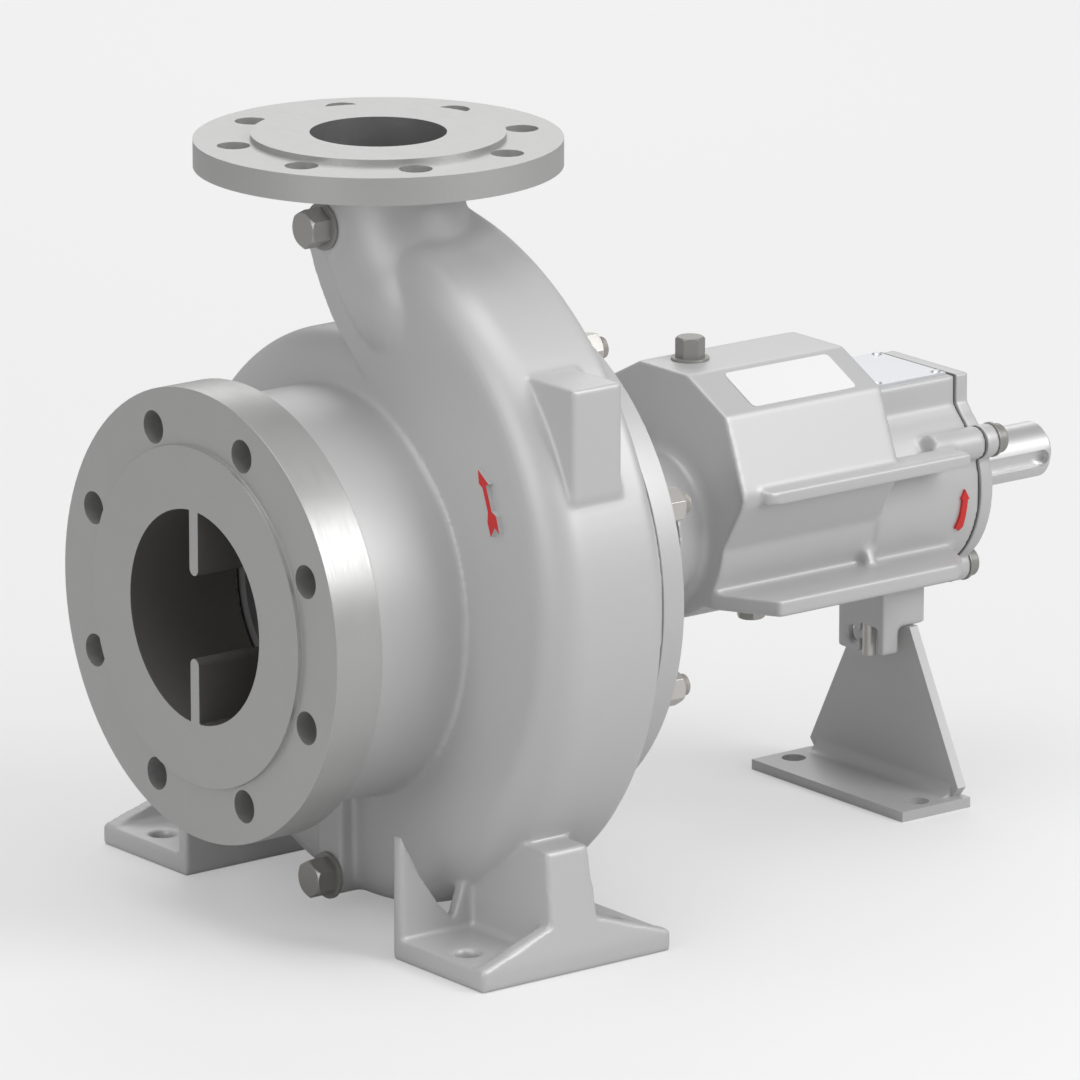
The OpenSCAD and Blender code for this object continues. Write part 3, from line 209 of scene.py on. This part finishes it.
GASKET_GRAPHITE = Finish("gasket_graphite", "gasket_graphite", (0.05, 0.05, 0.055), 0.1, 0.6)
GASKET_PAPER = Finish("gasket_graphite", "gasket_paper", (0.20, 0.20, 0.20), 0.1, 0.6)
SEAL_RUBBER = Finish("oil_seal_rubber", "oil_seal_rubber", (0.03, 0.025, 0.025), 0.0, 0.5)
BEARING_STEEL = Finish("bearing_steel", "bearing_steel", (0.62, 0.62, 0.64), 1.0, 0.18)
CAGE_BRASS = Finish("cage_brass", "cage_brass", (0.62, 0.42, 0.16), 1.0, 0.3)
LABEL_WHITE = Finish("label_white", "label_white", (0.86, 0.86, 0.86), 0.0, 0.3, coat=0.2)
PLATE_METAL = Finish(
    "nameplate_metal", "nameplate_metal", (0.36, 0.36, 0.36), 0.2, 0.66, Grain.CAST, 0.00001, 0.04)
FINISHES: tuple[Finish, ...] = (
    CAST_SILVER, SHEET_SILVER, BOLT_STEEL, PLUG_STEEL, ARROW_RED, IMPELLER_IRON, SHAFT_STEEL, SEAL_METAL,
    SEAL_CARBON, GASKET_GRAPHITE, SEAL_RUBBER, BEARING_STEEL, CAGE_BRASS, LABEL_WHITE, PLATE_METAL)


def nowhere(point: Vector) -> bool:
    """A zone with nothing in it."""
    return False


def plain_coat(point: Vector, normal: Vector) -> int:
    """Paints every face the same."""
    return 0


def dress(piece: bpy.types.Object, finishes: Sequence[Finish]) -> None:
    """Gives a piece its materials in order.

    Args:
        piece: Object whose slots are set.
        finishes: Finishes, first the one of face material 0.
    """
    piece.data.materials.clear()
    for finish in finishes:
        piece.data.materials.append(finish.material())


def merged_copy(node: str, name: str) -> bpy.types.Object:
    """Copies a CAD node's mesh with its loose triangles joined.

    Args:
        node: Name of the CAD node.
        name: Name of the new piece.

    Returns:
        The new object, in the scene.
    """
    mesh = frame["nodes"][node].data.copy()
    mesh.name = name
    stored = mesh.attributes.get("custom_normal")
    if stored is not None:
        mesh.attributes.remove(stored)
    piece = bpy.data.objects.new(name, mesh)
    bpy.context.scene.collection.objects.link(piece)
    with_bmesh(mesh, lambda shape: bmesh.ops.remove_doubles(shape, verts=shape.verts, dist=CAD_GAP))
    return piece


def with_bmesh(mesh: bpy.types.Mesh, work: Callable[[bmesh.types.BMesh], object]) -> None:
    """Runs one piece of work on a mesh and writes the result back.

    Args:
        mesh: Mesh that is changed.
        work: Work that gets the mesh as a bmesh.
    """
    shape = bmesh.new()
    shape.from_mesh(mesh)
    work(shape)
    shape.to_mesh(mesh)
    shape.free()


def settle(piece: bpy.types.Object) -> None:
    """Makes the result of the piece's modifiers its mesh.

    Args:
        piece: Object whose modifiers are applied.
    """
    bpy.context.view_layer.update()
    graph = bpy.context.evaluated_depsgraph_get()
    mesh = bpy.data.meshes.new_from_object(piece.evaluated_get(graph))
    mesh.name = piece.name
    piece.modifiers.clear()
    piece.data = mesh


def shade(piece: bpy.types.Object, angle: float = SMOOTH_ANGLE, level_flats: bool = True) -> None:
    """Shades a piece smooth, with its hard edges kept.

    Args:
        piece: Object that is shaded.
        angle: Edges that are sharper than this stay hard.
        level_flats: Gives large flat faces one even shade up to their rounded edges.
    """
    piece.data.shade_smooth()
    piece.data.set_sharp_from_angle(angle=angle)
    if level_flats:
        weighted = piece.modifiers.new("weighted", "WEIGHTED_NORMAL")
        weighted.weight = AREA_WEIGHT
        weighted.keep_sharp = True
        settle(piece)


def round_edges(shape: bmesh.types.BMesh, width: float, segments: int) -> None:
    """Joins flat faces and rounds the sharp edges between them.

    Args:
        shape: Mesh that is changed.
        width: Width of the round.
        segments: Faces across the round.
    """
    bmesh.ops.dissolve_limit(
        shape, angle_limit=FLAT_ANGLE, verts=shape.verts, edges=shape.edges, delimit=set())
    sharp = [e for e in shape.edges if len(e.link_faces) == 2 and e.calc_face_angle() > EDGE_ANGLE]
    bmesh.ops.bevel(
        shape, geom=sharp, offset=width, offset_type="OFFSET", segments=segments, profile=0.5,
        affect="EDGES", clamp_overlap=True, material=-1)


def remove_faces(shape: bmesh.types.BMesh, zone: Zone) -> None:
    """Removes the faces whose centres lie in a zone."""
    bmesh.ops.delete(shape, geom=[f for f in shape.faces if zone(f.calc_center_median())], context="FACES")


def hand_over(piece: bpy.types.Object, replaced: Iterable[str] = ()) -> None:
    """Reports a finished piece, ties it to the pump's body and hides the CAD nodes that it stands for.

    Args:
        piece: Finished object.
        replaced: CAD nodes that it stands for.
    """
    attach(piece, PUMP_BODY)
    if replaced:
        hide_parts(*replaced)
    LOG.info("%s: %d faces on %s", piece.name, len(piece.data.polygons), PUMP_BODY)


@dataclass(frozen=True)
class SoftCasting:
    """A casting with the rounded edges and filled corners that it has from the mould.

    Attributes:
        node: CAD node that it stands for.
        finishes: Finishes of the face materials.
        voxel: Cell of the even mesh that is smoothed.
        passes: Times that the cast skin is smoothed.
        crisp_passes: Times that the crisp zones are smoothed.
        triangles: Triangles that are kept at the end.
        crisp: Tells whether a point is in a zone with crisper edges.
        coat: Gives the face material from a face's centre and normal.
        left_out: Tells whether a point belongs to another piece.
    """

    node: str
    finishes: tuple[Finish, ...]
    voxel: float
    passes: int
    crisp_passes: int
    triangles: int
    crisp: Zone
    coat: Coat
    left_out: Zone = nowhere

    def build(self) -> None:
        """Builds the piece and hands it over."""
        piece = merged_copy(self.node, f"{self.node}_moulded")
        even = piece.modifiers.new("even", "REMESH")
        even.mode = "VOXEL"
        even.voxel_size = self.voxel
        settle(piece)
        with_bmesh(piece.data, self._smooth)
        with_bmesh(piece.data, lambda shape: remove_faces(shape, self.left_out))
        thin = piece.modifiers.new("thin", "DECIMATE")
        thin.ratio = min(1.0, self.triangles / (2 * len(piece.data.polygons)))
        settle(piece)
        dress(piece, self.finishes)
        for face in piece.data.polygons:
            face.material_index = self.coat(face.center, face.normal)
        shade(piece, CAST_ANGLE, level_flats=False)
        hand_over(piece, (self.node,))

    def _smooth(self, shape: bmesh.types.BMesh) -> None:
        """Smooths the skin, less in the crisp zones.

        Args:
            shape: Mesh of the casting.
        """
        skin = [v for v in shape.verts if not self.crisp(v.co)]
        for step in range(self.passes):
            verts = shape.verts if step < self.crisp_passes else skin
            bmesh.ops.smooth_vert(
                shape, verts=verts, factor=0.5, use_axis_x=True, use_axis_y=True, use_axis_z=True)


@dataclass(frozen=True)
class MachinedEnd:
    """The end of a casting that is cut on the lathe, with its crisp edges.

    Attributes:
        node: CAD node that it is part of.
        name: Name of the piece.
        finishes: Finishes of the face materials.
        plane: Point in the plane that ends the piece.
        outward: Direction from the plane to the side that is kept.
        coat: Gives the face material from a face's centre and normal.
        left_out: Tells whether a point belongs to another piece.
        width: Width of the round on its edges.
        segments: Faces across the round.
    """

    node: str
    name: str
    finishes: tuple[Finish, ...]
    plane: Place
    outward: Place
    coat: Coat
    left_out: Zone = nowhere
    width: float = FLANGE_ROUND
    segments: int = 2

    def build(self) -> None:
        """Builds the piece and hands it over."""
        piece = merged_copy(self.node, self.name)
        with_bmesh(piece.data, self._cut)
        dress(piece, self.finishes)
        for face in piece.data.polygons:
            face.material_index = self.coat(face.center, face.normal)
        shade(piece)
        hand_over(piece)

    def _cut(self, shape: bmesh.types.BMesh) -> None:
        """Keeps the end of the casting and rounds its edges.

        Args:
            shape: Mesh of the casting.
        """
        bmesh.ops.bisect_plane(
            shape, geom=shape.verts[:] + shape.edges[:] + shape.faces[:], dist=CUT_GAP,
            plane_co=self.plane, plane_no=self.outward, clear_inner=True, clear_outer=False)
        remove_faces(shape, self.left_out)
        round_edges(shape, self.width, self.segments)


@dataclass(frozen=True)
class EasedPiece:
    """A piece whose sharp edges are broken by a small round.

    Attributes:
        node: CAD node that it stands for.
        finish: Finish of the piece.
        width: Width of the round.
        segments: Faces across the round.
    """

    node: str
    finish: Finish
    width: float = SMALL_ROUND
    segments: int = 2

    def build(self) -> None:
        """Builds the piece and hands it over."""
        piece = merged_copy(self.node, f"{self.node}_eased")
        with_bmesh(piece.data, self._ease)
        dress(piece, (self.finish,))
        shade(piece)
        hand_over(piece, (self.node,))

    def _ease(self, shape: bmesh.types.BMesh) -> None:
        """Rounds the sharp edges."""
        round_edges(shape, self.width, self.segments)


@dataclass(frozen=True)
class StudRing:
    """A ring of studs with cut threads at their outer ends.

    Attributes:
        node: CAD node that it stands for.
        count: Number of studs.
        pitch_circle: Diameter of the ring.
        diameter: Thread diameter.
        pitch: Thread pitch.
        threaded: Length of the cut thread.
        thread_depth: Depth of the thread as a share of its pitch.
        steps: Faces round a stud.
    """

    node: str
    count: int
    pitch_circle: float
    diameter: float
    pitch: float
    threaded: float
    thread_depth: float = 0.6
    steps: int = 28

    def build(self) -> None:
        """Builds the studs and hands them over."""
        mesh = bpy.data.meshes.new(f"{self.node}_threaded")
        piece = bpy.data.objects.new(mesh.name, mesh)
        bpy.context.scene.collection.objects.link(piece)
        with_bmesh(mesh, self._turn_studs)
        dress(piece, (BOLT_STEEL,))
        shade(piece, THREAD_ANGLE, level_flats=False)
        hand_over(piece, (self.node,))

    def _outline(self, start: float, end: float) -> list[tuple[float, float]]:
        """Half section of a stud.

        Args:
            start: Station of the inner end.
            end: Station of the outer end.

        Returns:
            Points of station and radius, from the inner end to the outer one.
        """
        crest = self.diameter / 2
        root = crest - self.thread_depth * self.pitch
        points = [(start, 0.0), (start, crest)]
        station = end - self.threaded
        while station < end - 1.5 * self.pitch:
            points += [(station, crest), (station + self.pitch / 2, root)]
            station += self.pitch
        return points + [(station, crest), (end - self.pitch / 2, crest), (end, root), (end, 0.0)]

    def _turn_studs(self, shape: bmesh.types.BMesh) -> None:
        """Turns each stud about its own axis.

        Args:
            shape: Empty mesh that gets the studs.
        """
        low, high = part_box(self.node)
        outline = self._outline(low[0], high[0])
        for i in range(self.count):
            angle = 2 * math.pi * (i + 0.5) / self.count
            y = self.pitch_circle / 2 * math.sin(angle)
            z = SHAFT_HEIGHT - self.pitch_circle / 2 * math.cos(angle)
            verts = [shape.verts.new((x, y, z + r)) for x, r in outline]
            edges = [shape.edges.new(pair) for pair in zip(verts, verts[1:])]
            bmesh.ops.spin(
                shape, geom=verts + edges, cent=(0.0, y, z), axis=(1.0, 0.0, 0.0), dvec=(0.0, 0.0, 0.0),
                angle=2 * math.pi, steps=self.steps, use_merge=True, use_duplicate=False)
        bmesh.ops.remove_doubles(shape, verts=shape.verts, dist=CUT_GAP)
        bmesh.ops.recalc_face_normals(shape, faces=shape.faces)


@dataclass(frozen=True)
class WetEnd:
    """The volute casing with its flanges, feet, plugs, studs and arrow.

    Attributes:
        flange_back: Station of the suction flange's back face.
        flange_fillet: Radius round the shaft where that face meets its fillet.
        neck_top: Height of the discharge flange's back face.
        neck_fillet: Radius round the discharge axis where that face meets its fillet.
        fillet_reach: Depth behind a flange that its back face may lie in.
        lap: Overlap of a flange and the rest of the casting.
        bore_radius: Radius of the suction bore.
        bore_front: Normal along the shaft of the faces that look out of the bore.
        wet_start: Station where the impeller's space starts.
        wet_end: Station where it ends.
        wet_radius: Radius of it round the shaft.
        outlet_radius: Radius inside the discharge bore.
        outlet_depth: Depth of the discharge bore that gets painted shade.
        inward: Least slope towards the axis of a wall that faces it.
        foot_top: Height of the foot blocks.
        foot_inside: Distance of the foot blocks from the centre plane.
        lug_inside: Distance of the side lug from the centre plane.
        lug_low: Height of the lug's lower end.
        lug_high: Height of the lug's upper end.
        joint_face: Station where the joint rim starts.
        arrow_front: Normal along the shaft of the arrow's painted face.
    """

    flange_back: float = -0.0920
    flange_fillet: float = 0.1187
    neck_top: float = 0.4120
    neck_fillet: float = 0.0527
    fillet_reach: float = 0.0015
    lap: float = 0.0001
    bore_radius: float = 0.0597
    bore_front: float = -0.6
    wet_start: float = -0.03
    wet_end: float = 0.09
    wet_radius: float = 0.112
    outlet_radius: float = 0.0380
    outlet_depth: float = 0.02
    inward: float = -0.001
    foot_top: float = 0.078
    foot_inside: float = 0.090
    lug_inside: float = 0.105
    lug_low: float = 0.258
    lug_high: float = 0.327
    joint_face: float = 0.078
    arrow_front: float = -0.7

    def _crisp(self, point: Vector) -> bool:
        """Finds the zones of the casing that keep crisper edges.

        Args:
            point: Point on the casing.

        Returns:
            Whether the point is on the joint rim, on a foot or on the lug.
        """
        on_foot = point.z < self.foot_top and abs(point.y) > self.foot_inside
        on_lug = point.y < -self.lug_inside and self.lug_low < point.z < self.lug_high
        return on_foot or on_lug or point.x > self.joint_face

    def _on_flange(self, point: Vector) -> bool:
        """Finds what the two flanges take from the rest of the casting.

        Args:
            point: Point on the casing.

        Returns:
            Whether the point belongs to one of the flanges.
        """
        from_shaft = math.hypot(point.y, point.z - SHAFT_HEIGHT)
        from_neck = math.hypot(point.x, point.y)
        return (point.x < self.flange_back or point.z > self.neck_top
                or (point.x < self.flange_back + self.fillet_reach and from_shaft > self.flange_fillet)
                or (point.z > self.neck_top - self.fillet_reach and from_neck > self.neck_fillet))

    def _on_discharge(self, point: Vector) -> bool:
        """Tells whether a point is on the discharge flange or just below it."""
        return point.z > self.neck_top - self.outlet_depth

    def _coat(self, point: Vector, normal: Vector) -> int:
        """Picks the face material of the casing.

        Args:
            point: Centre of the face.
            normal: Normal of the face.

        Returns:
            0 for the painted skin, 1 for machined faces, 2 for the suction bore and 3 for the outlet, the
            last two darkened with painted shade.
        """
        from_shaft = math.hypot(point.y, point.z - SHAFT_HEIGHT)
        to_shaft = point.y * normal.y + (point.z - SHAFT_HEIGHT) * normal.z < 0
        from_neck = math.hypot(point.x, point.y)
        to_neck = point.x * normal.x + point.y * normal.y < self.inward
        # Painted shade on the walls of the suction bore and of the impeller's space.
        if point.x < self.wet_end and from_shaft < self.bore_radius and normal.x > self.bore_front:
            return 2
        if self.wet_start < point.x < self.wet_end and from_shaft < self.wet_radius and to_shaft:
            return 2
        # Painted shade inside the top of the discharge bore.
        if point.z > self.neck_top - self.outlet_depth and from_neck < self.outlet_radius and to_neck:
            return 3
        if point.x < self.flange_back or point.z > self.neck_top:
            return 1
        return 0

    def build(self) -> None:
        """Builds every piece of the wet end."""
        # The bore and outlet finishes are darker copies of the cast silver that carry painted shade.
        coats = (CAST_SILVER, MACHINED_SILVER, BORE_PAINTED_SHADE, OUTLET_PAINTED_SHADE)
        SoftCasting(
            "volute_casing", coats, voxel=0.0015, passes=9, crisp_passes=3, triangles=180000,
            crisp=self._crisp, coat=self._coat, left_out=self._on_flange).build()
        MachinedEnd(
            "volute_casing", "suction_flange", coats, plane=(self.flange_back + self.lap, 0.0, 0.0),
            outward=(-1.0, 0.0, 0.0), coat=self._coat, left_out=self._on_discharge).build()
        MachinedEnd(
            "volute_casing", "discharge_flange", coats, plane=(0.0, 0.0, self.neck_top - self.lap),
            outward=(0.0, 0.0, 1.0), coat=self._coat).build()
        EasedPiece("casing_cover", CAST_SILVER, COVER_ROUND).build()
        EasedPiece("casing_nuts", BOLT_STEEL).build()
        StudRing(
            "casing_studs", count=8, pitch_circle=0.267, diameter=0.012, pitch=0.00175,
            threaded=0.022).build()
        for plug in ("priming_plug", "drain_plug"):
            EasedPiece(plug, PLUG_STEEL, PLUG_ROUND).build()
        for washer in ("priming_plug_washer", "drain_plug_washer"):
            EasedPiece(washer, WASHER_STEEL).build()
        self._arrow("casing_arrow")

    def _arrow(self, node: str) -> None:
        """Gives a raised arrow its red face and its bare flanks.

        Args:
            node: CAD node of the arrow.
        """
        piece = merged_copy(node, f"{node}_relief")
        dress(piece, (ARROW_RED, CAST_SILVER))
        for face in piece.data.polygons:
            face.material_index = 0 if face.normal.x < self.arrow_front else 1
        shade(piece)
        hand_over(piece, (node,))


@dataclass(frozen=True)
class DriveEnd:
    """The bearing bracket with its cover, plugs, plates and support foot.

    Attributes:
        lantern_rim: Station where the lantern's flange ends.
        cover_rim: Station where the face of the end cover's joint starts.
    """

    lantern_rim: float = 0.110
    cover_rim: float = 0.379

    def _crisp(self, point: Vector) -> bool:
        """Tells whether a point is on the lantern's flange or near the end cover's joint."""
        return point.x < self.lantern_rim or point.x > self.cover_rim

    def build(self) -> None:
        """Builds every piece of the drive end."""
        SoftCasting(
            "bearing_bracket", (CAST_SILVER,), voxel=0.0014, passes=5, crisp_passes=2, triangles=150000,
            crisp=self._crisp, coat=plain_coat).build()
        SoftCasting(
            "end_cover", (CAST_SILVER,), voxel=0.0009, passes=4, crisp_passes=4, triangles=60000,
            crisp=nowhere, coat=plain_coat).build()
        EasedPiece("support_foot", SHEET_SILVER, SHEET_ROUND, segments=3).build()
        for node in ("support_bolt", "support_washer", "support_pin", "lantern_screws"):
            EasedPiece(node, BOLT_STEEL).build()
        for node in ("end_cover_screws", "end_cover_washers", "oil_filler_plug", "oil_filler_washer"):
            EasedPiece(node, WASHER_STEEL).build()
        EasedPiece("nameplate", PLATE_METAL).build()
        EasedPiece("label_plate", LABEL_WHITE, LABEL_ROUND).build()
        dress(frame["nodes"]["end_cover_gasket"], (GASKET_PAPER,))


@dataclass(frozen=True)
class PlainNodes:
    """The nodes that keep their CAD mesh, each with the finish of its slot."""

    def build(self) -> None:
        """Sets the finish of every CAD node from the record."""
        by_slot = {finish.slot: finish for finish in FINISHES}
        for part in frame["record"]["subparts"]:
            node = frame["nodes"][part["node"]]
            dress(node, (by_slot[part["material_slot"]],))
            LOG.info("%s: %s", node.name, part["material_slot"])


@dataclass(frozen=True)
class Lamp:
    """A soft square lamp.

    Attributes:
        name: Name of the lamp.
        place: Its place.
        size: Length of its sides.
        power: Its power in watts.
    """

    name: str
    place: Place
    size: float
    power: float

    def build(self, target: Vector) -> None:
        """Adds the lamp to the scene.

        Args:
            target: Point that the lamp looks at.
        """
        light = bpy.data.lights.new(self.name, "AREA")
        light.shape = "SQUARE"
        light.size = self.size
        light.energy = self.power
        lamp = bpy.data.objects.new(self.name, light)
        bpy.context.scene.collection.objects.link(lamp)
        lamp.location = self.place
        lamp.rotation_euler = (target - lamp.location).to_track_quat("-Z", "Y").to_euler()


@dataclass(frozen=True)
class Studio:
    """A plain pale floor, a pale world, soft lamps and the camera.

    Attributes:
        camera_place: Place of the camera.
        view: Direction that it looks in.
        lens: Focal length in millimetres.
        sensor: Width of its sensor in millimetres.
        sight: Farthest distance that it sees.
        floor_size: Length of the floor's sides.
        floor_grey: Base colour of the floor, the same in red, green and blue.
        floor_roughness: Roughness of the floor.
        glow_reach: Distances from the middle between which the floor's glow changes.
        floor_glow: Glow of the floor in the camera's eye at these two distances.
        world_light: Brightness of the world on the pump.
        world_seen: Brightness of the world in the camera's eye.
        target: Point that the lamps look at.
        lamps: The lamps.
    """

    camera_place: Place = (-3.0103, -4.0283, 1.5536)
    view: Place = (0.5914, 0.7635, -0.2595)
    lens: float = 319.1
    sensor: float = 36.0
    sight: float = 100.0
    floor_size: float = 30.0
    floor_grey: float = 0.62
    floor_roughness: float = 0.8
    glow_reach: tuple[float, float] = (0.5, 3.5)
    floor_glow: tuple[float, float] = (0.30, 0.46)
    world_light: float = 0.36
    world_seen: float = 0.93
    target: Place = (0.15, 0.0, 0.2)
    lamps: tuple[Lamp, ...] = (
        Lamp("key", (1.3, -2.3, 1.9), 1.6, 41.0),
        Lamp("top", (-0.4, -0.2, 3.0), 2.4, 28.0),
        Lamp("front", (-3.0, -0.8, 1.4), 1.8, 20.0),
        Lamp("back", (1.6, 2.2, 1.9), 1.8, 13.0))

    def build(self) -> None:
        """Builds floor, world, lamps and camera."""
        self._floor()
        self._world()
        for lamp in self.lamps:
            lamp.build(Vector(self.target))
        self._camera()
        bpy.context.scene.view_settings.view_transform = "Standard"

    def _floor(self) -> None:
        """A plain matt floor that looks near white to the camera."""
        mesh = bpy.data.meshes.new("floor")
        with_bmesh(mesh, lambda shape: bmesh.ops.create_grid(
            shape, x_segments=1, y_segments=1, size=self.floor_size / 2))
        floor = bpy.data.objects.new("floor", mesh)
        bpy.context.scene.collection.objects.link(floor)
        paint = bpy.data.materials.new("floor_paint")
        paint.use_nodes = True
        tree = paint.node_tree
        surface = tree.nodes["Principled BSDF"]
        surface.inputs["Base Color"].default_value = (*(self.floor_grey,) * 3, 1.0)
        surface.inputs["Roughness"].default_value = self.floor_roughness
        rays = tree.nodes.new("ShaderNodeLightPath")
        place = tree.nodes.new("ShaderNodeTexCoord")
        away = tree.nodes.new("ShaderNodeVectorMath")
        away.operation = "LENGTH"
        reach = tree.nodes.new("ShaderNodeMapRange")
        reach.inputs["From Min"].default_value = self.glow_reach[0]
        reach.inputs["From Max"].default_value = self.glow_reach[1]
        reach.inputs["To Min"].default_value = self.floor_glow[0]
        reach.inputs["To Max"].default_value = self.floor_glow[1]
        glow = tree.nodes.new("ShaderNodeMath")
        glow.operation = "MULTIPLY"
        tree.links.new(place.outputs["Object"], away.inputs[0])
        tree.links.new(away.outputs["Value"], reach.inputs["Value"])
        tree.links.new(rays.outputs["Is Camera Ray"], glow.inputs[0])
        tree.links.new(reach.outputs["Result"], glow.inputs[1])
        tree.links.new(glow.outputs["Value"], surface.inputs["Emission Strength"])
        surface.inputs["Emission Color"].default_value = (1.0, 1.0, 1.0, 1.0)
        mesh.materials.append(paint)

    def _world(self) -> None:
        """A pale world, plainer to the camera than to the pump."""
        world = bpy.data.worlds.new("studio")
        world.use_nodes = True
        tree = world.node_tree
        sky = tree.nodes["Background"]
        sky.inputs["Color"].default_value = (1.0, 1.0, 1.0, 1.0)
        rays = tree.nodes.new("ShaderNodeLightPath")
        level = tree.nodes.new("ShaderNodeMapRange")
        level.inputs["To Min"].default_value = self.world_light
        level.inputs["To Max"].default_value = self.world_seen
        tree.links.new(rays.outputs["Is Camera Ray"], level.inputs["Value"])
        tree.links.new(level.outputs["Result"], sky.inputs["Strength"])
        bpy.context.scene.world = world

    def _camera(self) -> None:
        """The camera at the viewing angle of the photograph."""
        camera = bpy.data.objects.new("camera", bpy.data.cameras.new("camera"))
        bpy.context.scene.collection.objects.link(camera)
        camera.location = self.camera_place
        camera.rotation_euler = Vector(self.view).to_track_quat("-Z", "Y").to_euler()
        camera.data.lens = self.lens
        camera.data.sensor_width = self.sensor
        camera.data.clip_end = self.sight
        bpy.context.scene.camera = camera


def main() -> None:
    """Builds the dressed pump and its studio."""
    logging.basicConfig(level=logging.INFO, format="%(name)s %(message)s")
    PlainNodes().build()
    WetEnd().build()
    DriveEnd().build()
    Studio().build()


if __name__ == "__main__":
    main()
